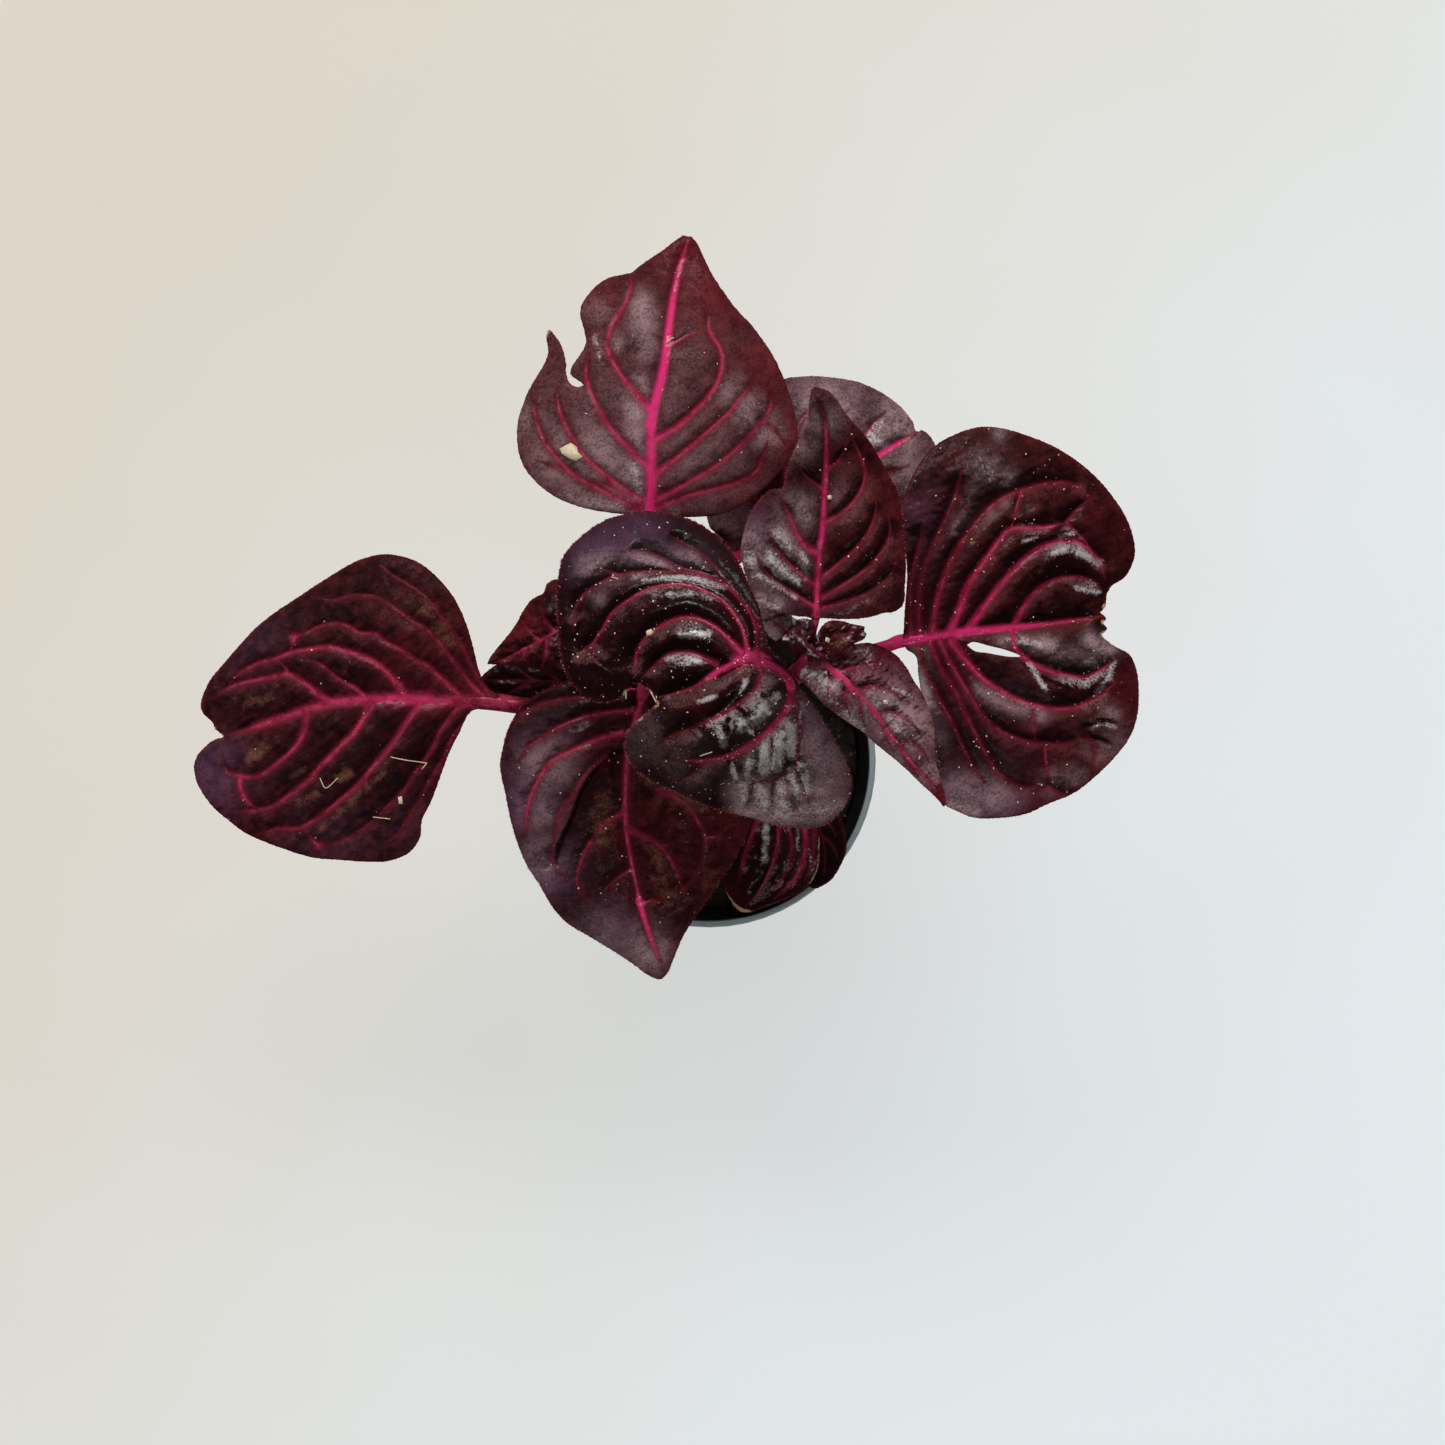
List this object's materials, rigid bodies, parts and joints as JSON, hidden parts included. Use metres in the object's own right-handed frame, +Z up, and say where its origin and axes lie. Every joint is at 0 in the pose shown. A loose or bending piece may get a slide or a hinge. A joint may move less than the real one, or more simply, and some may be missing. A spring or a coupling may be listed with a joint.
{
  "type": "potted bloodleaf plant",
  "caption": "Young potted foliage plant with notched, quilted dark leaves on crimson veins and stalks, in a small round tapered nursery pot.",
  "frame": {"origin": "the middle of the pot's flat underside", "axes": "+Z up out of the pot, +Y towards the side that the plant leans to, +X towards the large right-hand leaf"},
  "size_m": [0.1573, 0.1225, 0.1275],
  "materials": {
    "pot_plastic": "satin grey outside and rim, black inside",
    "potting_mix": "dark crumbly peat and bark",
    "stem": "smooth fleshy crimson",
    "leaf": "quilted satin maroon with crimson veins"
  },
  "bodies": {
    "root": {"pot": "pot_plastic", "potting_mix": "potting_mix", "main_stem": "stem", "side_stem": "stem", "leaf_centre": "leaf", "leaf_right": "leaf", "leaf_crown_upper": "leaf", "leaf_crown_lower": "leaf", "leaf_top": "leaf", "leaf_front": "leaf", "leaf_rear_left": "leaf", "leaf_rear": "leaf", "leaf_left": "leaf", "leaf_low_left": "leaf", "leaf_under_top": "leaf", "leaf_young": "leaf", "bud_leaf_curled": "leaf", "bud_leaf_red": "leaf", "leaf_in_pot": "leaf", "leaf_over_rim": "leaf"}
  },
  "joints": []
}
